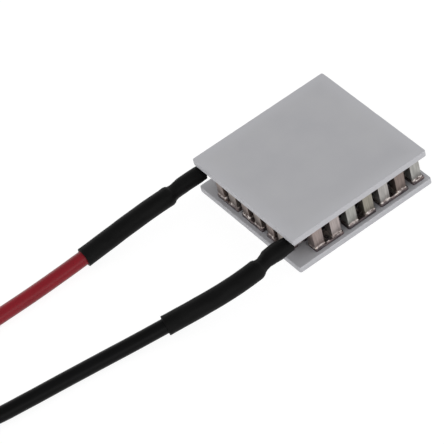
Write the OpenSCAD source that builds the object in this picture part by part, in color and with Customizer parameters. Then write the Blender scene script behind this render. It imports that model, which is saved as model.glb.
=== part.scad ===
// Thermoelectric cooling module: two alumina plates, 31 couples of
// semiconductor legs between copper tabs, and two insulated leads.
// Millimetres. The origin is the centre of the lower plate's underside,
// the leads leave toward -Y, and the red one is on the -X side.

/* [Module] */
// Side of both square ceramic plates
plate_side = 15; // [13.4:0.1:20]
// Thickness of each ceramic plate
plate_thickness = 0.63; // [0.5:0.01:1]
// Radius of the plates' four upright corners
corner_radius = 0.4; // [0.1:0.05:1]
// Bare ceramic between the plate's edge and the outermost copper
edge_margin = 0.4; // [0.25:0.05:0.8]

/* [Couples] */
// Side of a square semiconductor leg
leg_side = 1.05; // [0.8:0.01:1.1]
// Height of a leg between its two solder joints
leg_height = 2; // [1:0.05:3]
// Width of a copper tab
tab_width = 1.3; // [1.26:0.01:1.4]
// Thickness of a copper tab
tab_thickness = 0.3; // [0.15:0.01:0.4]
// Solder between a tab and the end of a leg
solder_thickness = 0.1; // [0.03:0.01:0.15]
// How far the solder climbs up the sides of a leg
solder_climb = 0.12; // [0.05:0.01:0.25]
// How far the solder stands out around a leg
solder_edge = 0.09; // [0.03:0.01:0.1]

/* [Leads] */
// Diameter of a lead over its insulation
wire_diameter = 1.42; // [1.2:0.02:1.6]
// Diameter of the stranded conductor
core_diameter = 0.6; // [0.4:0.02:0.7]
// Diameter of the solder run along the conductor inside the sleeve
joint_diameter = 1.1; // [0.9:0.02:1.14]
// Wall of the shrunk sleeve
sleeve_wall = 0.22; // [0.15:0.01:0.27]
// Gap between the sleeve and the upper plate
sleeve_clearance = 0.04; // [0.02:0.01:0.1]
// Length of stripped conductor at the free end
bare_length = 5; // [3:0.5:7]

/* [Stored coil] */
// Diameter of the coil at the middle of its turns
coil_across = 16; // [15:0.1:17]
// Thickness of the tie's strap, which the coil rests on
tie_thickness = 0.2; // [0.15:0.05:0.3]
// Width of the tie's strap
tie_width = 1.6; // [1:0.1:2.5]

/* [Hidden] */

count = 8;                  // legs along each side of the grid
pitch = (plate_side - 2 * edge_margin - tab_width) / (count - 1);
function place(i) = (i - (count + 1) / 2) * pitch;

// Levels, from the lower plate's underside up
lower_face = plate_thickness;
lower_copper = lower_face + tab_thickness;
leg_foot = lower_copper + solder_thickness;
leg_head = leg_foot + leg_height;
upper_copper = leg_head + solder_thickness;
upper_face = upper_copper + tab_thickness;
module_height = upper_face + plate_thickness;

// The two corner places on the lead side hold no leg: they take the leads
function has_leg(i, j) = j > 1 || (i > 1 && i < count);
function is_p(i, j) = (i + j) % 2 == 0;

// Leads
wire_r = wire_diameter / 2;
core_r = core_diameter / 2;
joint_r = joint_diameter / 2;
waist_r = (joint_r * 2 + core_r) / 3;          // sleeve's bore where only the conductor is inside
lead_height = upper_face - joint_r - sleeve_wall - sleeve_clearance;
lead_shift = -0.4;          // both leads lie beside the middle of their terminal tabs
sides = 16;                 // around a sleeve, joint or conductor
wire_sides = 8;             // around an insulated lead

// Each point: out from the plate's edge, sideways from the joint, share of the lead's height
red_near = [
    [-1.6, 0, 1], [-0.1, 0, 1], [2, 0, 1], [2.8, 0.02, 0.96], [3.3, 0, 0.93], [3.8, -0.03, 0.89],
    [5.5, -0.26, 0.76], [8, -0.5, 0.55], [10.5, -0.67, 0.35], [12.8, -0.8, 0.19],
    [15.5, -0.9, 0.06], [18.5, -0.92, 0], [22, -0.92, 0], [26, -0.92, 0], [30, -0.92, 0],
    [34, -0.92, 0], [38, -0.92, 0.02]
];
black_near = [
    [-1.6, 0.12, 1], [-0.1, 0.12, 1], [2, 0.12, 1], [2.8, 0.3, 0.96], [3.3, 0.36, 0.93], [3.8, 0.35, 0.89],
    [5.5, 0.19, 0.76], [8, -0.3, 0.55], [10.5, -0.94, 0.35], [12.8, -1.51, 0.19],
    [15.5, -2.1, 0.06], [18.5, -2.65, 0], [22, -3.15, 0], [26, -3.7, 0], [29, -4.2, 0]
];
// Each point: sideways and back from where the coil begins, share of the coil layer's height
red_far = [[0, 2, 0.8], [0, 0, 1]];
black_far = [[9.1, 13.7, 0], [6.5, 10.9, 0.05], [2.9, 8.6, 0.5], [0.8, 5.3, 0.93], [0, 2.5, 1], [0, 0, 1]];
coil_out = 44;              // where the coil begins, out from the plate's edge

red_exit = [place(1) + lead_shift, -plate_side / 2];
black_exit = [place(count) + lead_shift, -plate_side / 2];
coil_start = [red_exit.x - 0.92, -plate_side / 2 - coil_out];

function near_route(exit, list) =
    [for (p = list) [exit.x + p[1], exit.y - p[0], wire_r + p[2] * (lead_height - wire_r)]];
function far_route(list, layer) =
    [for (p = list) [coil_start.x + p[0], coil_start.y + p[1], wire_r + p[2] * (tie_thickness + layer * wire_diameter)]];
red_route = concat(near_route(red_exit, red_near), far_route(red_far, 0));
black_route = concat(near_route(black_exit, black_near), far_route(black_far, 1));

sleeve_first = 1;           // route points where the sleeve begins,
insulation_first = 4;       // the insulation begins
sleeve_last = 9;            // and the sleeve ends
solder_last = 2;            // and where the solder on the conductor ends

// Coil: two turns side by side for each lead, the black pair on top of the red pair
turn_in = coil_across / 2 - wire_r;
turn_out = coil_across / 2 + wire_r;
coil_centre = [coil_start.x + turn_out, coil_start.y];
tail_bend = 3 * wire_diameter;

// A lead leaves its inner turn at angle `from` and bends inward by `swing`, coming down to the surface
function tail(from, swing, layer) =
    let (steps = 8, top = tie_thickness + layer * wire_diameter)
    [for (k = [0:steps])
        let (a = swing * k / steps, s = max(0, (k / steps - 0.4) / 0.6), ease = s * s * (3 - 2 * s))
        [
            coil_centre.x + (turn_in - tail_bend) * cos(from) + tail_bend * cos(from + a),
            coil_centre.y + (turn_in - tail_bend) * sin(from) + tail_bend * sin(from + a),
            wire_r + top * (1 - ease)
        ]];
red_tail = tail(120, 80, 0);
black_tail = tail(60, 140, 1);
function tip(path, from) =
    let (end = path[len(path) - 1], a = from)
    [end, [end.x - bare_length * sin(a), end.y + bare_length * cos(a), end.z - 0.35]];

// Swept shapes
function unit(v) = v / norm(v);
function heading(path, i) = unit(path[min(i + 1, len(path) - 1)] - path[max(i - 1, 0)]);
function ring(path, i, r, n) =
    let (t = heading(path, i), side = unit(cross(t, [0, 0, 1])), up = cross(side, t))
    [for (k = [0:n - 1]) path[i] + r * (cos(360 * k / n) * side + sin(360 * k / n) * up)];

// Walls between ring a and ring b of n points, two triangles to a panel
function wall(a, b, n) =
    [for (k = [0:n - 1], half = [0, 1])
        let (m = (k + 1) % n) half == 0 ? [a + k, a + m, b + k] : [a + m, b + m, b + k]];
function flip(faces) = [for (f = faces) [f[2], f[1], f[0]]];
function cap(a, n) = [for (k = [1:n - 2]) [a, a + k + 1, a + k]];

// A solid rod along path[first] to path[last]
module rod(path, first, last, r, n) {
    rings = [for (i = [first:last]) each ring(path, i, r, n)];
    spans = last - first;
    polyhedron(rings, concat(
        cap(0, n), flip(cap(spans * n, n)),
        [for (s = [0:spans - 1]) each wall(s * n, (s + 1) * n, n)]
    ));
}

// A tube along path[first] on, with an outer and an inner radius for each point
module tube(path, first, outer, inner, n) {
    spans = len(outer) - 1;
    base = (spans + 1) * n;
    polyhedron(
        concat(
            [for (i = [0:spans]) each ring(path, first + i, outer[i], n)],
            [for (i = [0:spans]) each ring(path, first + i, inner[i], n)]
        ),
        concat(
            [for (s = [0:spans - 1]) each wall(s * n, (s + 1) * n, n)],
            flip([for (s = [0:spans - 1]) each wall(base + s * n, base + (s + 1) * n, n)]),
            wall(base, 0, n), flip(wall(base + spans * n, spans * n, n))
        )
    );
}

module block(x, y, height) {
    translate([-x / 2, -y / 2, 0]) cube([x, y, height]);
}

module plate() {
    reach = plate_side / 2 - corner_radius;
    color("gainsboro") linear_extrude(plate_thickness) {
        square([plate_side, 2 * reach], center = true);
        square([2 * reach, plate_side], center = true);
        for (x = [-reach, reach], y = [-reach, reach]) translate([x, y]) circle(corner_radius, $fn = 48);
    }
}

// One row of legs of one type
module legs(j, p_type) {
    color(p_type ? "slategray" : "rosybrown")
        for (i = [1:count]) if (has_leg(i, j) && is_p(i, j) == p_type)
            translate([place(i), place(j), leg_foot]) block(leg_side, leg_side, leg_height);
}

// A tab that joins the legs at two neighbouring places
module tab(i, j, across) {
    translate([place(i) + (across ? pitch / 2 : 0), place(j) + (across ? 0 : pitch / 2), 0])
        block(tab_width + (across ? pitch : 0), tab_width + (across ? 0 : pitch), tab_thickness);
}

module lower_tabs(j, columns, across) {
    color("peru") translate([0, 0, lower_face]) for (i = columns) tab(i, j, across);
}

module upper_tabs(j, columns) {
    color("peru") translate([0, 0, upper_copper]) for (i = columns) tab(i, j, false);
}

// Solder under the end of a leg, with its rim climbing the leg's sides
module solder_joint() {
    outer = leg_side + 2 * solder_edge;
    difference() {
        block(outer, outer, solder_thickness + solder_climb);
        translate([0, 0, solder_thickness]) block(leg_side, leg_side, 1);
    }
}

module lower_solder(j) {
    color("silver") for (i = [1:count]) if (has_leg(i, j))
        translate([place(i), place(j), lower_copper]) solder_joint();
}

module upper_solder(j) {
    color("silver") for (i = [1:count]) if (has_leg(i, j))
        translate([place(i), place(j), upper_copper]) mirror([0, 0, 1]) solder_joint();
}

// Solder that holds the end of a lead's conductor under its terminal tab
module joint_solder(route) {
    long = route[0].y - route[sleeve_first].y;
    color("silver") translate(route[0]) rotate([90, 0, 0]) linear_extrude(long) difference() {
        intersection() {
            union() {
                circle(joint_r, $fn = 48);
                translate([-joint_r, 0]) square(2 * joint_r);
            }
            translate([-1, -1]) square([2, 1 + upper_copper - route[0].z]);
        }
        circle(core_r, $fn = 48);
    }
}

// Solder drawn along the conductor inside the sleeve
module tinning(route) {
    radii = [for (i = [sleeve_first:solder_last]) 1];
    color("silver") tube(route, sleeve_first, joint_r * radii, core_r * radii, sides);
}

module core(route) {
    color("silver") rod(route, 0, insulation_first, core_r, sides);
}

// Black sleeve: over the joint, drawn in at the bare conductor, then over the insulation
module sleeve(route) {
    over = [for (i = [insulation_first:sleeve_last]) wire_r];
    bore = concat([joint_r, joint_r, waist_r], over);
    color([0.1, 0.1, 0.1]) tube(route, sleeve_first, [for (r = bore) r + sleeve_wall], bore, sides);
}

// Insulated lead: the stretch from the sleeve to the coil, and its tail inside the coil
module lead(route, tail_path) {
    rod(route, insulation_first, len(route) - 1, wire_r, wire_sides);
    rod(tail_path, 0, len(tail_path) - 1, wire_r, wire_sides);
}

// Outer shape of two turns lying side by side
module coil(layer) {
    translate([coil_centre.x, coil_centre.y, tie_thickness + (layer + 0.5) * wire_diameter])
        rotate_extrude($fn = 96) {
            translate([turn_in, -wire_r]) square([turn_out - turn_in, wire_diameter]);
            for (r = [turn_in, turn_out]) translate([r, 0]) circle(wire_r, $fn = 32);
        }
}

module bare_end(path, from) {
    color("silver") rod(tip(path, from), 0, 1, core_r, sides);
}

// Strap around the four strands of the coil, with its head outside
module coil_tie() {
    slack = 0.08;           // the strap is straight where the turns curve
    inside = turn_in - wire_r - slack;
    outside = turn_out + wire_r;
    tall = 2 * wire_diameter;
    color("whitesmoke") translate([coil_centre.x, coil_centre.y, 0]) {
        translate([-tie_width / 2, 0, 0]) rotate([90, 0, 90]) linear_extrude(tie_width) difference() {
            translate([-outside - tie_thickness, 0])
                square([outside - inside + 2 * tie_thickness, tall + 2 * tie_thickness]);
            translate([-outside, tie_thickness]) square([outside - inside, tall]);
        }
        translate([0, -outside - tie_thickness - 0.6, 0.6]) block(tie_width + 0.6, 1.2, 1.6);
    }
}

module lower_plate() plate();
module upper_plate() translate([0, 0, upper_face]) plate();
module red_lead() color("firebrick") lead(red_route, red_tail);
module black_lead() color([0.12, 0.12, 0.12]) lead(black_route, black_tail);
module red_coil() color("firebrick") coil(0);
module black_coil() color([0.12, 0.12, 0.12]) coil(1);

lower_plate();
upper_plate();
for (j = [1:count]) {
    legs(j, true);
    legs(j, false);
    lower_solder(j);
    upper_solder(j);
}
lower_tabs(1, [2, 4, 6], true);  // lower_tabs_front
lower_tabs(2, [1:count], false);  // lower_tabs_2_3
lower_tabs(4, [1:count], false);  // lower_tabs_4_5
lower_tabs(6, [1:count], false);  // lower_tabs_6_7
lower_tabs(count, [1, 3, 5, 7], true);  // lower_tabs_back
upper_tabs(1, [2:count - 1]);  // upper_tabs_1_2
upper_tabs(3, [1:count]);  // upper_tabs_3_4
upper_tabs(5, [1:count]);  // upper_tabs_5_6
upper_tabs(7, [1:count]);  // upper_tabs_7_8
upper_tabs(1, [1]);  // red_terminal_tab
upper_tabs(1, [count]);  // black_terminal_tab
joint_solder(red_route);  // red_joint_solder
joint_solder(black_route);  // black_joint_solder
tinning(red_route);  // red_tinning
tinning(black_route);  // black_tinning
core(red_route);  // red_core
core(black_route);  // black_core
sleeve(red_route);  // red_sleeve
sleeve(black_route);  // black_sleeve
red_lead();
black_lead();
red_coil();
black_coil();
bare_end(red_tail, 200);  // red_bare_end
bare_end(black_tail, 200);  // black_bare_end
coil_tie();
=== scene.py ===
# Thermoelectric cooling module: two ceramic plates, legs between copper tabs, two sleeved leads
import math
import random

import bmesh
import bpy
from mathutils import Matrix, Vector, noise


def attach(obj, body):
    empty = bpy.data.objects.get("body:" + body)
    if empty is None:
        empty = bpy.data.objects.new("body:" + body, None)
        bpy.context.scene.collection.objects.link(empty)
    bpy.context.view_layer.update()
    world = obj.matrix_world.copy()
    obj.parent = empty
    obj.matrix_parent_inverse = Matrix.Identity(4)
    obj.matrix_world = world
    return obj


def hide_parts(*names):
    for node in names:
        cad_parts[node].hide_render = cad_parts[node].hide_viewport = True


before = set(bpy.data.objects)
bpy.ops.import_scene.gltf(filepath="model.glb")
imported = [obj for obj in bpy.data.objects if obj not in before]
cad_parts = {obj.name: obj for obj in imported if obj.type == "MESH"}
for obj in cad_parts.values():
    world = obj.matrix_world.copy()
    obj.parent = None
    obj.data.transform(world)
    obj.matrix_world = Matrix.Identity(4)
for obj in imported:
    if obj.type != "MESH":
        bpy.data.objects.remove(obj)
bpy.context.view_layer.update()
mm = 0.001
scene = bpy.context.scene
print("frame loaded:", len(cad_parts), "nodes")


def colour(code):  # sRGB hex to linear
    parts = [int(code[i:i + 2], 16) / 255 for i in (1, 3, 5)]
    return [c / 12.92 if c <= 0.04045 else ((c + 0.055) / 1.055) ** 2.4 for c in parts] + [1]


def addNode(tree, kind, settings=None, links=None):
    node = tree.nodes.new(kind)
    for key, value in (settings or {}).items():
        if key == "stops":  # places and colours of a ramp
            ramp = node.color_ramp
            while len(ramp.elements) < len(value):
                ramp.elements.new(1)
            for element, (place, code) in zip(ramp.elements, value):
                element.position, element.color = place, colour(code)
        elif isinstance(key, int) or key in node.inputs:
            node.inputs[key].default_value = value
        else:
            setattr(node, key, value)
    for key, source in (links or {}).items():
        tree.links.new(source, node.inputs[key])
    return node


def newMaterial(name, surface):
    material = bpy.data.materials.new(name)
    material.use_nodes = True
    tree = material.node_tree
    shader = tree.nodes["Principled BSDF"]
    for key, value in surface.items():
        shader.inputs[key].default_value = value
    place = addNode(tree, "ShaderNodeTexCoord").outputs["Object"]
    return material, tree, shader, place


# Camera: a long lens, tilted a little about its own line of sight
camera = {"azimuth": 64.01, "elevation": 44.05, "roll": -15.34, "distance": 289, "lens": 262.3,
          "target": (-2.85, -8.53, 0)}


def addCamera(c):
    az, el, roll = (math.radians(c[k]) for k in ("azimuth", "elevation", "roll"))
    back = Vector((math.sin(az) * math.cos(el), -math.cos(az) * math.cos(el), math.sin(el)))
    right = Vector((0, 0, 1)).cross(back).normalized()
    up = back.cross(right)
    right, up = (math.cos(roll) * right + math.sin(roll) * up, math.cos(roll) * up - math.sin(roll) * right)
    data = bpy.data.cameras.new("camera")
    data.lens, data.sensor_width = c["lens"], 36
    data.clip_start, data.clip_end = 0.01, 10
    shown = bpy.data.objects.new("camera", data)
    shown.matrix_world = Matrix.Translation((Vector(c["target"]) + back * c["distance"]) * mm) @ Matrix(
        (right, up, back)).transposed().to_4x4()
    scene.collection.objects.link(shown)
    scene.camera = shown


addCamera(camera)

# Module sizes, as the frame has them, but for the plates' corners, which look sharper
module = {"side": 15, "plate": 0.63, "tab": 0.3, "tabWidth": 1.3, "solder": 0.1, "leg": 1.05, "legHeight": 2,
          "margin": 0.4, "corner": 0.18}
pitch = (module["side"] - 2 * module["margin"] - module["tabWidth"]) / 7
lowerCopper = module["plate"] + module["tab"]
legFoot = lowerCopper + module["solder"]
legHead = legFoot + module["legHeight"]
upperCopper = legHead + module["solder"]
upperFace = upperCopper + module["tab"]
places = range(1, 9)  # eight rows and eight columns


def spot(i):  # middle of the i-th place of eight
    return (i - 4.5) * pitch


def hasLeg(i, j):
    return j > 1 or 1 < i < 8


# Leads: each point is out from the plate's edge, sideways from the exit, share of the exit's height
leads = {
    "wire": 1.42, "joint": 1.1, "sleeveWall": 0.22, "clearance": 0.04, "strap": 0.2,
    "coilAcross": 16, "coilOut": 44, "shift": -0.4, "bareLength": 5, "tipDrop": 0.35,
    "redLeaves": 120, "blackLeaves": 60, "tipHeading": 200,  # degrees round the coil
    "redNear": [(-1.6, 0, 1), (-0.1, 0, 1), (2, 0, 1), (2.8, 0.02, 0.96), (3.3, 0, 0.93), (3.8, -0.03, 0.89),
                (5.5, -0.26, 0.76), (8, -0.5, 0.55), (10.5, -0.67, 0.35), (12.8, -0.8, 0.19),
                (15.5, -0.9, 0.06), (18.5, -0.92, 0), (22, -0.92, 0), (26, -0.92, 0), (30, -0.92, 0),
                (34, -0.92, 0), (38, -0.92, 0.02)],
    "blackNear": [(-1.6, 0.12, 1), (-0.1, 0.12, 1), (2, 0.12, 1), (2.8, 0.3, 0.96), (3.3, 0.36, 0.93),
                  (3.8, 0.35, 0.89), (5.5, 0.19, 0.76), (8, -0.3, 0.55), (10.5, -0.94, 0.35),
                  (12.8, -1.51, 0.19), (15.5, -2.1, 0.06), (18.5, -2.65, 0), (22, -3.15, 0), (26, -3.7, 0),
                  (29, -4.2, 0)],
    # sideways and back from where the coil begins, share of the coil layer's height
    "redFar": [(0, 2, 0.8)],
    "blackFar": [(9.1, 13.7, 0), (6.5, 10.9, 0.05), (2.9, 8.6, 0.5), (0.8, 5.3, 0.93), (0, 2.5, 1)],
}
wireR, jointR = leads["wire"] / 2, leads["joint"] / 2
leadHeight = upperFace - jointR - leads["sleeveWall"] - leads["clearance"]
turnIn, turnOut = leads["coilAcross"] / 2 - wireR, leads["coilAcross"] / 2 + wireR
leadEdge = -module["side"] / 2  # the plates' edge that both leads pass
exits = {"red": Vector((spot(1) + leads["shift"], leadEdge, 0)),
         "black": Vector((spot(8) + leads["shift"], leadEdge, 0))}
coilStart = exits["red"] + Vector((leads["redNear"][-1][1], -leads["coilOut"], 0))
coilCentre = coilStart + Vector((turnOut, 0, 0))


def ease(t):
    t = min(max(t, 0), 1)
    return t * t * (3 - 2 * t)


def nearRoute(exit, points):
    rise = leadHeight - wireR
    return [Vector((exit.x + side, exit.y - out, wireR + share * rise)) for out, side, share in points]


def farRoute(points, layer):
    rise = leads["strap"] + layer * leads["wire"]
    return [Vector((coilStart.x + side, coilStart.y + back, wireR + share * rise))
            for side, back, share in points]


# Degrees between a coil's points, where it begins to close in and over how many, bend in wire diameters
coil = {"step": 12, "closesAt": 490, "closesOver": 50, "bend": 3}


def coilRoute(leave, layer):  # two turns side by side, then a bend inward and down to the surface
    top = wireR + leads["strap"] + layer * leads["wire"]
    points = []
    for angle in range(180, leave + 2 * 360, coil["step"]):
        r = turnOut + (turnIn - turnOut) * ease((angle - coil["closesAt"]) / coil["closesOver"])
        a = math.radians(angle)
        points.append(Vector((coilCentre.x + r * math.cos(a), coilCentre.y + r * math.sin(a), top)))
    bend = coil["bend"] * leads["wire"]
    a = math.radians(leave)
    middle = coilCentre + Vector((math.cos(a), math.sin(a), 0)) * (turnIn - bend)
    for k in range(9):
        b = a + math.radians((leads["tipHeading"] - leave) * k / 8)
        z = wireR + (top - wireR) * (1 - ease((k / 8 - 0.4) / 0.6))
        points.append(Vector((middle.x + bend * math.cos(b), middle.y + bend * math.sin(b), z)))
    return points


def smoothLine(points, step):  # Catmull-Rom through the points
    line = []
    ends = [points[0] * 2 - points[1]] + points + [points[-1] * 2 - points[-2]]
    for k in range(1, len(ends) - 2):
        p0, p1, p2, p3 = ends[k - 1:k + 3]
        t1 = math.sqrt((p1 - p0).length)
        t2 = t1 + math.sqrt((p2 - p1).length)
        t3 = t2 + math.sqrt((p3 - p2).length)
        count = max(1, round((p2 - p1).length / step))
        for n in range(count):
            t = t1 + (t2 - t1) * n / count
            a1 = p0 * ((t1 - t) / t1) + p1 * (t / t1)
            a2 = p1 * ((t2 - t) / (t2 - t1)) + p2 * ((t - t1) / (t2 - t1))
            a3 = p2 * ((t3 - t) / (t3 - t2)) + p3 * ((t - t2) / (t3 - t2))
            b1 = a1 * ((t2 - t) / t2) + a2 * (t / t2)
            b2 = a2 * ((t3 - t) / (t3 - t1)) + a3 * ((t - t1) / (t3 - t1))
            line.append(b1 * ((t2 - t) / (t2 - t1)) + b2 * ((t - t1) / (t2 - t1)))
    return line + [points[-1]]


def lengths(line):
    total = [0]
    for a, b in zip(line, line[1:]):
        total.append(total[-1] + (b - a).length)
    return total


def along(line, total, s):  # point and heading at that distance
    k = next((n for n in range(1, len(total) - 1) if total[n] >= s), len(total) - 1)
    t = (s - total[k - 1]) / (total[k] - total[k - 1])
    ahead, behind = line[min(k + 1, len(line) - 1)], line[max(k - 2, 0)]
    return line[k - 1].lerp(line[k], t), (ahead - behind).normalized()


def joinRings(bm, rows, caps=True):  # a skin over rings of points
    for low, high in zip(rows, rows[1:]):
        for n in range(len(low)):
            m = (n + 1) % len(low)
            bm.faces.new((low[n], low[m], high[m], high[n]))
    if caps:
        bm.faces.new(rows[0])
        bm.faces.new(rows[-1])


def sweep(bm, rings, sides, caps=True):  # rings are (point, heading, radius or radius at an angle)
    rows = []
    for point, heading, radius in rings:
        across = heading.cross(Vector((0, 0, 1))).normalized()
        up = across.cross(heading)
        row = []
        for n in range(sides):
            a = 2 * math.pi * n / sides
            r = radius(a) if callable(radius) else radius
            row.append(bm.verts.new((point + (across * math.cos(a) + up * math.sin(a)) * r) * mm))
        rows.append(row)
    joinRings(bm, rows, caps)


def addPiece(name, bm, material, slot, *replaced):
    mesh = bpy.data.meshes.new(name)
    bmesh.ops.recalc_face_normals(bm, faces=bm.faces)
    bm.to_mesh(mesh)
    bm.free()
    mesh.shade_smooth()
    mesh.set_sharp_from_angle(angle=math.radians(40))
    piece = bpy.data.objects.new(name, mesh)
    scene.collection.objects.link(piece)
    mesh.materials.append(material)
    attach(piece, "root")
    if replaced:
        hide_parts(*replaced)
    return piece


# PVC, extruded: smooth and a little waxy, with a soft sheen and a faint grain drawn out along the wire
def pvcInsulation(name, base, deep, sheen):
    material, tree, shader, place = newMaterial(name, {
        "Roughness": 0.34, "IOR": 1.53, "Specular IOR Level": sheen})
    stretched = addNode(tree, "ShaderNodeMapping", {"Scale": (1, 0.12, 1)}, {"Vector": place})
    grain = addNode(tree, "ShaderNodeTexNoise", {"Scale": 1400, "Detail": 4},  # 0.7 mm wide, 6 mm long
                    {"Vector": stretched.outputs[0]})
    tint = addNode(tree, "ShaderNodeValToRGB", {"stops": [(0.35, deep), (0.65, base)]},
                   {"Fac": grain.outputs[0]})
    tree.links.new(tint.outputs[0], shader.inputs["Base Color"])
    bump = addNode(tree, "ShaderNodeBump", {"Strength": 0.12, "Distance": 0.00003},
                   {"Height": grain.outputs[0]})
    tree.links.new(bump.outputs[0], shader.inputs["Normal"])
    return material


redPvc = pvcInsulation("red PVC, extruded", "#88061a", "#7c0517", 0.28)
blackPvc = pvcInsulation("black PVC, extruded", "#0d0d0e", "#090909", 0.07)

# Each wire's own line, from where its conductor is bared inside the sleeve to its far cut end
routes = {
    "red": (nearRoute(exits["red"], leads["redNear"]) + farRoute(leads["redFar"], 0)
            + coilRoute(leads["redLeaves"], 0)),
    "black": (nearRoute(exits["black"], leads["blackNear"]) + farRoute(leads["blackFar"], 1)
              + coilRoute(leads["blackLeaves"], 1)),
}
insulationFirst, sleeveLast = 4, 9  # route points where the insulation begins and the sleeve ends
lines = {name: smoothLine(route, 0.4) for name, route in routes.items()}


def addWire(name, material):
    line = smoothLine(routes[name], 0.5)
    first = min(range(len(line)), key=lambda n: (line[n] - routes[name][insulationFirst]).length)
    line = line[first:]
    data = bpy.data.curves.new(name + "_wire", "CURVE")
    data.dimensions = "3D"
    data.bevel_depth, data.bevel_resolution = wireR * mm, 5
    data.use_fill_caps = True
    data.twist_mode = "Z_UP"
    spline = data.splines.new("POLY")
    spline.points.add(len(line) - 1)
    for point, p in zip(spline.points, line):
        point.co = (*(p * mm), 1)
    spline.use_smooth = True
    data.materials.append(material)
    wire = bpy.data.objects.new(name + "_wire", data)
    scene.collection.objects.link(wire)
    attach(wire, "root")
    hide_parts(name + "_lead", name + "_coil")
    print(name, "wire:", round(lengths(line)[-1], 1), "mm of insulation")


addWire("red", redPvc)
addWire("black", blackPvc)

# Polyolefin sleeve, heat-shrunk: dark, dull satin, with a fine skin and soft lengthwise wrinkles, painted
# lighter on their crests
material, tree, shader, place = newMaterial("black polyolefin, heat shrunk", {
    "Roughness": 0.5, "IOR": 1.5, "Specular IOR Level": 0.08})
skin = addNode(tree, "ShaderNodeTexNoise", {"Scale": 9000, "Detail": 3}, {"Vector": place})  # 0.1 mm skin
drawn = addNode(tree, "ShaderNodeMapping", {"Scale": (1, 0.25, 1)}, {"Vector": place})
wrinkleAndSheen = addNode(tree, "ShaderNodeTexNoise", {"Scale": 1600, "Detail": 3},  # 0.6 mm wide, 2.5 mm long
                  {"Vector": drawn.outputs[0]})
# painted sheen and shade: the colour follows the wrinkles, lighter on their crests and darker between them
tint = addNode(tree, "ShaderNodeValToRGB", {"stops": [(0.3, "#080808"), (0.7, "#111111")]},
               {"Fac": wrinkleAndSheen.outputs[0]})
tree.links.new(tint.outputs[0], shader.inputs["Base Color"])
fine = addNode(tree, "ShaderNodeBump", {"Strength": 0.15, "Distance": 0.00002}, {"Height": skin.outputs[0]})
bump = addNode(tree, "ShaderNodeBump", {"Strength": 0.3, "Distance": 0.00006},
               {"Height": wrinkleAndSheen.outputs[0], "Normal": fine.outputs[0]})
tree.links.new(bump.outputs[0], shader.inputs["Normal"])
shrunkSleeve = material

# Outside radius along each sleeve: over the solder joint, drawn in at the bare conductor, over the insulation
sleeves = {
    "red": [(0, 0.75), (0.3, 0.77), (2.1, 0.77), (2.6, 0.725), (2.95, 0.70), (3.27, 0.745), (3.5, 0.89),
            (3.7, 0.935), (4.3, 0.92), (12.6, 0.925), (13.3, 0.945)],
    "black": [(0, 0.74), (0.3, 0.77), (1.1, 0.85), (2.1, 0.80), (2.6, 0.70), (2.95, 0.68), (3.27, 0.74),
              (3.5, 0.875), (3.7, 0.93), (4.3, 0.925), (12.6, 0.93), (13.3, 0.95)],
    "length": 13.1,  # that the radii were set for
    "trim": {"red": 0, "black": 0.25}, "inner": -0.27, "step": 0.1, "sides": 32,
    "lump": 0.014, "fold": 0.005, "waistFold": 0.045, "waist": 2.9, "waistWide": 0.9,
}


def between(table, s):
    for (s0, r0), (s1, r1) in zip(table, table[1:]):
        if s <= s1:
            return r0 + (r1 - r0) * ease((s - s0) / (s1 - s0))
    return table[-1][1]


def addSleeve(name, seed):
    line, table = lines[name], sleeves[name]
    total = lengths(line)
    start = (routes[name][1] - routes[name][0]).length
    near = min(range(len(line)), key=lambda n: (line[n] - routes[name][sleeveLast]).length)
    long = total[near] - start - sleeves["trim"][name]
    bm = bmesh.new()

    def ringAt(s, extra, smooth=False):
        point, heading = along(line, total, start + s)

        def radius(a):
            r = between(table, s * sleeves["length"] / long) + extra
            if smooth:
                return r
            lump = noise.noise(Vector((math.cos(a) * 0.8, math.sin(a) * 0.8, s * 0.9 + seed)))
            fold = noise.noise(Vector((math.cos(a) * 2.6, math.sin(a) * 2.6, s * 0.35 + seed * 2)))
            nearWaist = math.exp(-((s - sleeves["waist"]) / sleeves["waistWide"]) ** 2)
            creased = sleeves["fold"] + sleeves["waistFold"] * nearWaist
            settled = ease((s - 0.1) / 0.5)
            return r + sleeves["lump"] * lump * settled + creased * fold * settled
        return point, heading, radius

    wall, inner = -leads["sleeveWall"], sleeves["inner"]
    rings = [ringAt(0.5, wall, True), ringAt(inner, wall + 0.02, True), ringAt(inner, -0.05)]
    s = inner + 0.03
    while s < long - 0.04:
        rings.append(ringAt(s, 0))
        s += sleeves["step"]
    rings += [ringAt(long - 0.03, 0), ringAt(long, -0.04), ringAt(long, wall + 0.01, True),
              ringAt(long - 0.8, wall, True)]
    sweep(bm, rings, sleeves["sides"], caps=False)
    return addPiece(name + "_shrunk_sleeve", bm, shrunkSleeve, "shrink_sleeve", name + "_sleeve")


redSleeve = addSleeve("red", 3.1)
blackSleeve = addSleeve("black", 8.4)
print("sleeves made")

# Copper strands, tinned: silvery and slightly matt from the dipping
material, tree, shader, place = newMaterial("tinned copper, drawn", {"Metallic": 1, "Roughness": 0.3})
dull = addNode(tree, "ShaderNodeTexNoise", {"Scale": 5000, "Detail": 3}, {"Vector": place})  # 0.2 mm patches
tint = addNode(tree, "ShaderNodeValToRGB", {"stops": [(0.35, "#b3aea6"), (0.6, "#cfccc6")]},
               {"Fac": dull.outputs[0]})
tree.links.new(tint.outputs[0], shader.inputs["Base Color"])
tinnedStrands = material

# 24 AWG, seven wires twisted once in 8 mm, which spread a little toward a bare tip
strands = {"count": 7, "thick": 0.2, "lay": 8, "nest": 0.97, "flare": 0.12, "step": 0.12}


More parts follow.
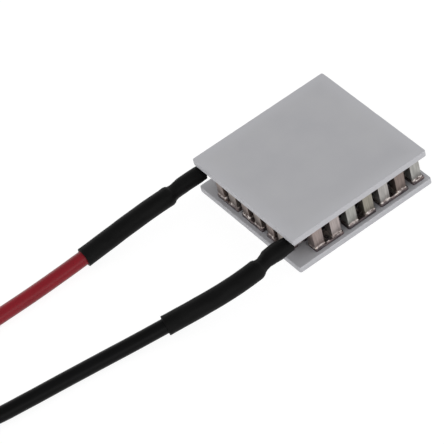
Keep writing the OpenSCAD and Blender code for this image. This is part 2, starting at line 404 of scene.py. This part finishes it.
def addStrands(name, path, replaced, flare):  # six wires round a straight one
    total = lengths(path)
    bm = bmesh.new()
    r, straight = strands["thick"] / 2, strands["count"] - 1
    for wire in range(strands["count"]):
        rings = []
        steps = max(8, round(total[-1] / strands["step"]))
        for n in range(steps + 1):
            s = total[-1] * n / steps
            point, heading = along(path, total, s)
            across = heading.cross(Vector((0, 0, 1))).normalized()
            up = across.cross(heading)
            turn = 2 * math.pi * (wire / straight + s / strands["lay"])
            spread = 1 + flare * (n / steps) ** 3 * (0.4 + 0.2 * wire)
            out = 0 if wire == straight else 2 * r * strands["nest"] * spread
            rings.append((point + (across * math.cos(turn) + up * math.sin(turn)) * out, heading, r))
        sweep(bm, rings, 8)
    return addPiece(name, bm, tinnedStrands, "tinned_strands", replaced)


def tipPath(route):
    end, a = route[-1], math.radians(leads["tipHeading"])
    far = end + Vector((-math.sin(a) * leads["bareLength"], math.cos(a) * leads["bareLength"],
                        -leads["tipDrop"]))
    return [end.lerp(far, n / 12) for n in range(13)]


ends = {name: addStrands(name + "_bare_strands", tipPath(routes[name]), name + "_bare_end", strands["flare"])
        for name in ("red", "black")}
cores = {name: addStrands(name + "_core_strands", smoothLine(routes[name][:5], 0.3), name + "_core", 0)
         for name in ("red", "black")}

# Alumina, fired: dull and even, pale grey, with painted light:
# a little lighter near the edges, where light comes through
material, tree, shader, place = newMaterial("alumina, fired and lapped", {
    "Roughness": 0.6, "IOR": 1.76, "Specular IOR Level": 0.25})
cloud = addNode(tree, "ShaderNodeTexNoise", {"Scale": 260, "Detail": 3}, {"Vector": place})  # 4 mm clouds
tint = addNode(tree, "ShaderNodeValToRGB", {"stops": [(0.3, "#b1b1b5"), (0.7, "#b6b6b9")]},
               {"Fac": cloud.outputs[0]})
parts = addNode(tree, "ShaderNodeSeparateXYZ", {}, {0: place})
awayX = addNode(tree, "ShaderNodeMath", {"operation": "ABSOLUTE"}, {0: parts.outputs[0]})
awayY = addNode(tree, "ShaderNodeMath", {"operation": "ABSOLUTE"}, {0: parts.outputs[1]})
away = addNode(tree, "ShaderNodeMath", {"operation": "MAXIMUM"}, {0: awayX.outputs[0], 1: awayY.outputs[0]})
# painted light: the base colour turns lighter toward the plate's edges, for light coming through the ceramic
paintedEdgeLight = addNode(tree, "ShaderNodeMapRange", {"From Min": 0.0058, "From Max": 0.0075, "To Max": 0.9,
                                           "interpolation_type": "SMOOTHSTEP"}, {0: away.outputs[0]})
glow = addNode(tree, "ShaderNodeMix", {"data_type": "RGBA", 7: colour("#bababe")},
               {0: paintedEdgeLight.outputs[0], 6: tint.outputs[0]})
tree.links.new(glow.outputs[2], shader.inputs["Base Color"])
grit = addNode(tree, "ShaderNodeTexNoise", {"Scale": 12000, "Detail": 2}, {"Vector": place})  # 0.08 mm grain
bump = addNode(tree, "ShaderNodeBump", {"Strength": 0.08, "Distance": 0.00002}, {"Height": grit.outputs[0]})
tree.links.new(bump.outputs[0], shader.inputs["Normal"])
alumina = material

# Rounding of the plate's edges, how far they wander, points along a side
plate = {"soft": 0.05, "waver": 0.012, "along": 40}
quarterTurn = (0, 0.5, 1.05, 1.57)  # angles that round an edge


def addPlate(name, bottom, seed):
    half, corner, thick = module["side"] / 2, module["corner"], module["plate"]
    corners = ((1, 1), (-1, 1), (-1, -1), (1, -1))
    outline = []
    for quarter, (cx, cy) in enumerate(corners):
        for n in range(9):
            a = math.pi / 2 * quarter + math.pi / 2 * n / 8
            x = cx * (half - corner) + corner * math.cos(a)
            y = cy * (half - corner) + corner * math.sin(a)
            outline.append(Vector((x, y, 0)))
        nextX, nextY = corners[(quarter + 1) % 4]
        start = outline[-1]
        stop = start + Vector((nextX - cx, nextY - cy, 0)) * (half - corner)
        outline += [start.lerp(stop, n / plate["along"]) for n in range(1, plate["along"])]
    soft = plate["soft"]
    rows = [(soft * 3, 0)] + [(soft * (1 - math.sin(t)), soft * (1 - math.cos(t))) for t in quarterTurn]
    rows += [(0, thick / 2)] + [(d, thick - z) for d, z in reversed(rows)]
    bm = bmesh.new()
    made = []
    for inset, z in rows:
        row = []
        for p in outline:
            inward = inset + max(0, noise.noise(p * 1.7 + Vector((seed, z * 1.2, 0)))) * plate["waver"] * 2
            scale = (half - inward) / half
            row.append(bm.verts.new(Vector((p.x * scale, p.y * scale, bottom + z)) * mm))
        made.append(row)
    joinRings(bm, made)
    return addPiece(name, bm, alumina, "alumina", name.replace("ceramic", "plate"))


addPlate("lower_ceramic", 0, 2.0)
addPlate("upper_ceramic", upperFace, 7.0)
print("ceramics made")


# Bismuth telluride, sawn: dull metallic grey with upright stripes along the crystal, each leg its own tone
def telluride(name, stops):
    material, tree, shader, place = newMaterial(name, {"Metallic": 0.92, "Roughness": 0.4})
    tone = addNode(tree, "ShaderNodeAttribute", {"attribute_name": "tone"})
    own = addNode(tree, "ShaderNodeValToRGB", {"stops": stops}, {"Fac": tone.outputs["Fac"]})
    upright = addNode(tree, "ShaderNodeMapping", {"Scale": (1, 1, 0.1)}, {"Vector": place})
    stripe = addNode(tree, "ShaderNodeTexNoise", {"Scale": 7000, "Detail": 3},  # 0.14 mm wide
                     {"Vector": upright.outputs[0]})
    shade = addNode(tree, "ShaderNodeMapRange",
                    {"From Min": 0.3, "From Max": 0.7, "To Min": 0.72, "To Max": 1.06},
                    {0: stripe.outputs[0]})
    mixed = addNode(tree, "ShaderNodeVectorMath", {"operation": "SCALE"},
                    {0: own.outputs[0], 3: shade.outputs[0]})
    tree.links.new(mixed.outputs[0], shader.inputs["Base Color"])
    bump = addNode(tree, "ShaderNodeBump", {"Strength": 0.35, "Distance": 0.00003},
                   {"Height": stripe.outputs[0]})
    tree.links.new(bump.outputs[0], shader.inputs["Normal"])
    return material


legSkins = {
    "p": telluride("bismuth telluride p type, sawn",
                   [(0, "#a0928e"), (0.35, "#b0aeab"), (0.7, "#a7a7a1"), (1, "#8a807a")]),
    "n": telluride("bismuth telluride n type, sawn",
                   [(0, "#b3a8a6"), (0.4, "#9a958a"), (0.7, "#8a7c76"), (1, "#a7a7a3")]),
}
# Rounding, how far a leg strays in Y and what share of that in X, degrees it turns,
# and the N and P tones of the row by the leads, the brownest: a brown tint and painted shade for that row's
# shadow
legs = {"soft": 0.03, "stray": 0.05, "inX": 0.6, "turn": 1.2, "shadedByLeads": (0.7, 1)}



# The outer row on the +X side is listed one by one: how far each leg strays along the row, and its tone
rightRow = {2: (-0.1, 0), 3: (0, 0.05), 4: (-0.02, 0.62), 5: (0.02, 0.4), 6: (-0.04, 0.3), 7: (-0.04, 0.7),
            8: (-0.1, 0.5)}


def legPlace(i, j):
    luck = random.Random(i * 31 + j * 7)
    x, y = spot(i), spot(j)
    dx, dy, turn, tone = (luck.uniform(-1, 1) for n in range(4))
    shift, tone = rightRow[j] if i == 8 else (dy * legs["stray"], (tone + 1) / 2)
    # painted shade: the row by the leads takes the darkest, brownest tones
    if j == 1:
        tone = legs["shadedByLeads"][i % 2]
    return x + dx * legs["stray"] * legs["inX"], y + shift, math.radians(turn * legs["turn"]), tone


def addLegs(j, kind):
    bm = bmesh.new()
    tones = []
    for i in places:
        if not hasLeg(i, j) or ((i + j) % 2 == 0) != (kind == "p"):
            continue
        x, y, turn, tone = legPlace(i, j)
        made = bmesh.ops.create_cube(bm, size=1)
        for v in made["verts"]:
            v.co = Vector((v.co.x * module["leg"], v.co.y * module["leg"], v.co.z * module["legHeight"]))
            v.co = (Matrix.Rotation(turn, 3, "Z") @ v.co + Vector((x, y, (legFoot + legHead) / 2))) * mm
        edges = list({e for v in made["verts"] for e in v.link_edges})
        bmesh.ops.bevel(bm, geom=edges, offset=legs["soft"] * mm, segments=2, affect="EDGES", profile=0.5)
        bm.faces.ensure_lookup_table()
        tones += [tone] * (len(bm.faces) - len(tones))
    piece = addPiece(f"{kind}_legs_{j}", bm, legSkins[kind], f"{kind}_type_telluride", f"{kind}_legs_row_{j}")
    attribute = piece.data.attributes.new("tone", "FLOAT", "FACE")
    for value, tone in zip(attribute.data, tones):
        value.value = tone


for j in places:
    addLegs(j, "p")
    addLegs(j, "n")
print("legs made")

# Copper, etched and tinned: dark purplish grey flanks, brighter and pinkish where the tin is thin
material, tree, shader, place = newMaterial("copper, bonded and tinned", {
    "Metallic": 0.85, "Roughness": 0.38})
patch = addNode(tree, "ShaderNodeTexNoise", {"Scale": 1500, "Detail": 4, "Roughness": 0.6},  # 0.7 mm patches
                {"Vector": place})
tint = addNode(tree, "ShaderNodeValToRGB",
               {"stops": [(0.3, "#494345"), (0.5, "#625a5d"), (0.62, "#7a6c6c"), (0.75, "#97857f")]},
               {"Fac": patch.outputs[0]})
tree.links.new(tint.outputs[0], shader.inputs["Base Color"])
bump = addNode(tree, "ShaderNodeBump", {"Strength": 0.3, "Distance": 0.00004}, {"Height": patch.outputs[0]})
tree.links.new(bump.outputs[0], shader.inputs["Normal"])
tinnedCopper = material

tabs = {"soft": 0.07, "corner": 0.16}


def tabOutline(cx, cy, lx, ly, corner):
    points = []
    for sx, sy, a0 in ((1, 1, 0), (-1, 1, 90), (-1, -1, 180), (1, -1, 270)):
        for n in range(6):
            a = math.radians(a0 + 18 * n)
            points.append(Vector((cx + sx * (lx / 2 - corner) + corner * math.cos(a),
                                  cy + sy * (ly / 2 - corner) + corner * math.sin(a), 0)))
    return points


def addTab(bm, cx, cy, lx, ly, face, up):  # face is the height of the ceramic it is bonded to
    thick, soft = module["tab"], tabs["soft"]
    rows = [(0.0, 0)] + [(soft * (1 - math.cos(t)), thick - soft + soft * math.sin(t)) for t in quarterTurn]
    made = []
    for inset, z in rows:
        outline = tabOutline(cx, cy, lx - 2 * inset, ly - 2 * inset, tabs["corner"])
        made.append([bm.verts.new(Vector((p.x, p.y, face + up * z)) * mm) for p in outline])
    joinRings(bm, made)


def addTabs(node, upper, row, columns, lengthwise):
    bm = bmesh.new()
    wide, span = module["tabWidth"], module["tabWidth"] + pitch
    for i in columns:
        cx = spot(i) + (pitch / 2 if lengthwise == "x" else 0)
        cy = spot(row) + (pitch / 2 if lengthwise == "y" else 0)
        lx, ly = (span, wide) if lengthwise == "x" else (wide, span)
        addTab(bm, cx, cy, lx, ly, upperFace if upper else module["plate"], -1 if upper else 1)
    addPiece(node + "_copper", bm, tinnedCopper, "copper_tab", node)


addTabs("lower_tabs_front", False, 1, (2, 4, 6), "x")
for row in (2, 4, 6):
    addTabs(f"lower_tabs_{row}_{row + 1}", False, row, places, "y")
addTabs("lower_tabs_back", False, 8, (1, 3, 5, 7), "x")
addTabs("upper_tabs_1_2", True, 1, range(2, 8), "y")
for row in (3, 5, 7):
    addTabs(f"upper_tabs_{row}_{row + 1}", True, row, places, "y")
addTabs("red_terminal_tab", True, 1, (1,), "y")
addTabs("black_terminal_tab", True, 1, (8,), "y")
print("tabs made")

# Tin solder, reflowed: bright and lumpy, with warm tints where it has taken up copper
material, tree, shader, place = newMaterial("tin solder, reflowed", {"Metallic": 1, "Roughness": 0.33})
patch = addNode(tree, "ShaderNodeTexNoise", {"Scale": 2600, "Detail": 3}, {"Vector": place})  # 0.4 mm patches
tint = addNode(tree, "ShaderNodeValToRGB",
               {"stops": [(0.32, "#6f6664"), (0.46, "#968b88"), (0.6, "#d8d2ce"), (0.75, "#b0988a")]},
               {"Fac": patch.outputs[0]})
tree.links.new(tint.outputs[0], shader.inputs["Base Color"])
ripple = addNode(tree, "ShaderNodeTexNoise", {"Scale": 6000, "Detail": 2}, {"Vector": place})
bump = addNode(tree, "ShaderNodeBump", {"Strength": 0.5, "Distance": 0.00006}, {"Height": ripple.outputs[0]})
tree.links.new(bump.outputs[0], shader.inputs["Normal"])
reflowedSolder = material

# Of a rim round a leg: how far it reaches and climbs, its extra reach toward the tab's other leg,
# and its outline as shares of the reach and the climb
solder = {
    "reach": 0.1, "climb": 0.2, "toward": 0.28, "sides": 40,
    "outline": [(1, -0.02), (1, 0.01), (0.7, 0.05), (0.42, 0.14), (0.2, 0.34), (0.06, 0.7), (-0.1, 1),
                (-0.4, 1)],
}


def addFillet(bm, x, y, turn, level, up, seed, ways):  # a hollow rim of solder round the end of a leg
    half = module["leg"] / 2
    rows = []
    for out, high in solder["outline"]:
        row = []
        for n in range(solder["sides"]):
            a = 2 * math.pi * n / solder["sides"]
            c, s = math.cos(a), math.sin(a)
            square = 1 / (abs(c) ** 8 + abs(s) ** 8) ** (1 / 8)
            wild = noise.noise(Vector((c * 1.6 + seed, s * 1.6, seed * 0.37)))
            toward = max(0, c * ways[0] + s * ways[1]) ** 2
            reach = solder["reach"] * (1 + 0.5 * wild) + solder["toward"] * toward
            climb = module["solder"] + solder["climb"] * (0.75 + 0.7 * wild)
            r = square * (half + out * reach)
            px, py = r * c, r * s
            px, py = px * math.cos(turn) - py * math.sin(turn), px * math.sin(turn) + py * math.cos(turn)
            row.append(bm.verts.new(Vector((x + px, y + py, level + up * high * climb)) * mm))
        rows.append(row)
    joinRings(bm, rows)


def addBead(bm, start, end, wide, high, seed):  # a long drop of solder along a tab's edge
    side = (end - start).normalized().cross(Vector((0, 0, 1)))
    rows = []
    for k in range(13):
        t = k / 12
        middle = start.lerp(end, t)
        uneven = 1 + 0.35 * noise.noise(Vector((t * 5, seed, 0)))
        swell = math.sqrt(max(0.0, 1 - (2 * t - 1) ** 4)) * uneven + 0.02
        row = []
        for n in range(12):
            a = math.pi * n / 6
            out = side * math.cos(a) * wide * swell
            row.append(bm.verts.new((middle + out + Vector((0, 0, math.sin(a) * high * swell))) * mm))
        rows.append(row)
    joinRings(bm, rows)


# Drops along the tabs' outer edges. On the +X side: middle from the leg, length, half width, height
beads = {
    "edge": 0.53, "wide": 0.09, "endWide": 0.1,
    "right": {2: (0.7, 0.5, 0.07, 0.05), 3: (-0.1, 1.15, 0.1, 0.1), 4: (0.1, 0.9, 0.08, 0.07),
              5: (-0.1, 1.1, 0.11, 0.1), 7: (-0.75, 1.3, 0.12, 0.11), 8: (-0.05, 0.7, 0.13, 0.12)},
}


def partner(i, j, upper):  # which way the other leg on the same tab lies
    if upper or 1 < j < 8:
        odd = (j % 2 == 1) if upper else (j % 2 == 0)
        return (0, 1) if odd else (0, -1)
    if j == 1:
        return (1, 0) if i % 2 == 0 else (-1, 0)
    return (1, 0) if i % 2 == 1 else (-1, 0)


def addSideDrops(bm, j):  # drops on the tabs at both sides
    for i in (1, 8):
        luck = random.Random(j * 5 + i)
        own = (luck.uniform(-0.3, 0.3), luck.uniform(0.5, 1.1), beads["wide"], luck.uniform(0.06, 0.11))
        middle, long, wide, high = beads["right"].get(j, (0, 0, 0, 0)) if i == 8 else own
        if long and hasLeg(i, j):
            x, y = spot(i) + math.copysign(beads["edge"], i - 4), spot(j) + middle
            start, end = (Vector((x, y + half, lowerCopper)) for half in (-long / 2, long / 2))
            addBead(bm, start, end, wide, high, i + j)


def addEndDrops(bm, j):  # and on those at the front and back
    for i in range(2, 8):
        luck = random.Random(j * 9 + i)
        x, y = spot(i) + luck.uniform(-0.2, 0.4), spot(j) + math.copysign(beads["edge"], j - 4)
        long = luck.uniform(0.5, 1)
        start, end = (Vector((x + half, y, lowerCopper)) for half in (-long / 2, long / 2))
        addBead(bm, start, end, beads["endWide"], luck.uniform(0.08, 0.16), i)


def addSolder(j, upper):
    bm = bmesh.new()
    level, up = (upperCopper, -1) if upper else (lowerCopper, 1)
    for i in places:
        if hasLeg(i, j):
            x, y, turn, tone = legPlace(i, j)
            seed = i * 3.7 + j * 11.3 + (50 if upper else 0)
            addFillet(bm, x, y, turn, level, up, seed, partner(i, j, upper))
    if not upper:
        addSideDrops(bm, j)
    if not upper and j in (1, 8):
        addEndDrops(bm, j)
    name = f"{'upper' if upper else 'lower'}_solder"
    addPiece(f"{name}_rims_{j}", bm, reflowedSolder, "solder", f"{name}_row_{j}")


for j in places:
    addSolder(j, False)
    addSolder(j, True)
print("solder made")


# Solder that holds each conductor under its terminal tab, drawn out along it
joint = {"long": 1.28, "steps": 30, "blunt": 0.35, "lump": 0.05, "sides": 28}


def addJoint(name, seed):
    line = smoothLine(routes[name][:3], 0.2)
    total = lengths(line)
    ceiling = upperCopper - routes[name][0].z
    bm = bmesh.new()
    rings = []
    for n in range(joint["steps"] + 1):
        s = joint["long"] * n / joint["steps"]
        point, heading = along(line, total, s)
        fill = math.sqrt(max(0.02, 1 - max(0, (joint["blunt"] - s) / 0.36) ** 2))

        def radius(a, fill=fill, s=s):
            lump = joint["lump"] * noise.noise(Vector((math.cos(a), math.sin(a), s * 2 + seed)))
            r = (jointR - 0.02 + lump) * fill
            high = math.sin(a)
            if high > 0.35:  # spreads out to the tab above
                r = min(ceiling / high, r * (1 + 0.5 * high))
            return r
        rings.append((point, heading, radius))
    sweep(bm, rings, joint["sides"])
    addPiece(name + "_joint", bm, reflowedSolder, "solder", name + "_joint_solder")


addJoint("red", 1.0)
addJoint("black", 5.0)
for name in ("red", "black"):
    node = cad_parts[name + "_tinning"]
    node.data.materials.clear()
    node.data.materials.append(reflowedSolder)

# Nylon, moulded: milky, slightly see-through at its thin edges, satin
material, tree, shader, place = newMaterial("natural nylon, moulded", {
    "Roughness": 0.42, "IOR": 1.53, "Subsurface Weight": 0.25, "Subsurface Radius": (0.8, 0.7, 0.6),
    "Subsurface Scale": 0.0006})
milk = addNode(tree, "ShaderNodeTexNoise", {"Scale": 900, "Detail": 2}, {"Vector": place})  # 1 mm clouds
tint = addNode(tree, "ShaderNodeValToRGB", {"stops": [(0.3, "#dcdad2"), (0.7, "#e9e7df")]},
               {"Fac": milk.outputs[0]})
tree.links.new(tint.outputs[0], shader.inputs["Base Color"])
mouldedNylon = material

tie = {"wide": 1.6, "thick": 0.2, "tooth": 0.3, "toothDeep": 0.035, "slack": 0.08, "soft": 0.03,
       "head": (2.2, 1.2, 1.6), "headMiddle": 1.4, "headSoft": 0.12,
       # across the strap: share of its width, and whether the point is on its inner face
       "section": ((-0.5, 0), (-0.42, 0), (0.42, 0), (0.5, 0), (0.5, 1), (-0.5, 1))}


def addTie():
    inside = turnIn - wireR - tie["slack"]
    outside, tall, thick = turnOut + wireR, 2 * leads["wire"], tie["thick"]
    y0, y1 = -outside - thick, -inside + thick
    bm = bmesh.new()
    corners = [(y0, 0), (y1, 0), (y1, tall + 2 * thick), (y0, tall + 2 * thick)]
    path = []
    for n, (y, z) in enumerate(corners):
        yb, zb = corners[(n + 1) % 4]
        count = max(2, round(math.hypot(yb - y, zb - z) / (tie["tooth"] / 2)))
        path += [(y + (yb - y) * k / count, z + (zb - z) * k / count, n) for k in range(count)]
    cy, cz = (y0 + y1) / 2, tall / 2 + thick
    halfY, halfZ = (y1 - y0) / 2, tall / 2 + thick
    rows = []
    for k, (y, z, side) in enumerate(path):
        dip = tie["toothDeep"] if k % 2 and side == 2 else 0  # fine teeth on the upper run
        ring = []
        for x, inner in tie["section"]:
            soft = tie["soft"] if abs(x) == 0.5 and not inner else 0
            inset = thick if inner else soft + (dip if abs(x) < 0.5 else 0)
            py = coilCentre.y + cy + (y - cy) * (halfY - inset) / halfY
            pz = cz + (z - cz) * (halfZ - inset) / halfZ
            ring.append(bm.verts.new(Vector((coilCentre.x + x * tie["wide"], py, pz)) * mm))
        rows.append(ring)
    joinRings(bm, rows + rows[:1], caps=False)
    head = bmesh.ops.create_cube(bm, size=1)
    wide, deep, high = tie["head"]
    for v in head["verts"]:
        v.co = Vector((coilCentre.x + v.co.x * wide, coilCentre.y + y0 - deep / 2 + v.co.y * deep,
                       tie["headMiddle"] + v.co.z * high)) * mm
    edges = list({e for v in head["verts"] for e in v.link_edges})
    bmesh.ops.bevel(bm, geom=edges, offset=tie["headSoft"] * mm, segments=3, affect="EDGES", profile=0.5)
    return addPiece("coil_strap", bm, mouldedNylon, "nylon_tie", "coil_tie")


addTie()
print("tie made")


# Floor: pale; it reads white to the camera and keeps a soft shadow
ground = {"reach": 1.5, "below": 0.00001, "share": 0.8, "glow": 1.12}


def addFloor():
    bm = bmesh.new()
    bmesh.ops.create_grid(bm, x_segments=1, y_segments=1, size=ground["reach"])
    mesh = bpy.data.meshes.new("floor")
    bm.to_mesh(mesh)
    bm.free()
    floor = bpy.data.objects.new("floor", mesh)
    floor.location.z = -ground["below"]
    scene.collection.objects.link(floor)
    material = bpy.data.materials.new("matt white paper")
    material.use_nodes = True
    tree = material.node_tree
    tree.nodes.clear()
    path = addNode(tree, "ShaderNodeLightPath")
    seen = addNode(tree, "ShaderNodeMath", {"operation": "MAXIMUM"},
                   {0: path.outputs["Is Camera Ray"], 1: path.outputs["Is Glossy Ray"]})
    share = addNode(tree, "ShaderNodeMath", {"operation": "MULTIPLY", 1: ground["share"]},
                    {0: seen.outputs[0]})
    paper = addNode(tree, "ShaderNodeBsdfDiffuse", {"Color": colour("#fafafa")})
    white = addNode(tree, "ShaderNodeEmission", {"Color": (1, 1, 1, 1), "Strength": ground["glow"]})
    mix = addNode(tree, "ShaderNodeMixShader", {},
                  {0: share.outputs[0], 1: paper.outputs[0], 2: white.outputs[0]})
    addNode(tree, "ShaderNodeOutputMaterial", {}, {0: mix.outputs[0]})
    mesh.materials.append(material)


addFloor()

# Light: a soft tent, brighter round the sides than overhead, with one broad lamp on the +X side
light = {"sides": 1.62, "overhead": 0.52, "sidesTo": 0.15, "overheadFrom": 0.8,
         "watts": 0.12, "lampSize": 0.3, "lampPlace": (0.45, -0.12, 0.12)}


def addLight():
    world = bpy.data.worlds.new("soft tent")
    scene.world = world
    world.use_nodes = True
    tree = world.node_tree
    tree.nodes.clear()
    place = addNode(tree, "ShaderNodeTexCoord").outputs["Generated"]
    parts = addNode(tree, "ShaderNodeSeparateXYZ", {}, {0: place})
    level = addNode(tree, "ShaderNodeMapRange", {
        "From Min": light["sidesTo"], "From Max": light["overheadFrom"], "To Min": light["sides"],
        "To Max": light["overhead"], "interpolation_type": "SMOOTHSTEP"}, {0: parts.outputs[2]})
    tent = addNode(tree, "ShaderNodeBackground", {"Color": (1, 1, 1, 1)}, {"Strength": level.outputs[0]})
    plain = addNode(tree, "ShaderNodeBackground", {"Color": (1, 1, 1, 1), "Strength": 1})
    path = addNode(tree, "ShaderNodeLightPath")
    mix = addNode(tree, "ShaderNodeMixShader", {},
                  {0: path.outputs["Is Camera Ray"], 1: tent.outputs[0], 2: plain.outputs[0]})
    addNode(tree, "ShaderNodeOutputWorld", {}, {0: mix.outputs[0]})
    data = bpy.data.lights.new("side lamp", "AREA")
    data.energy, data.size = light["watts"], light["lampSize"]
    lamp = bpy.data.objects.new("side_lamp", data)
    lamp.location = light["lampPlace"]
    lamp.rotation_euler = Vector(light["lampPlace"]).to_track_quat("Z", "Y").to_euler()
    scene.collection.objects.link(lamp)


addLight()
scene.view_settings.view_transform = "Standard"

bpy.context.view_layer.update()
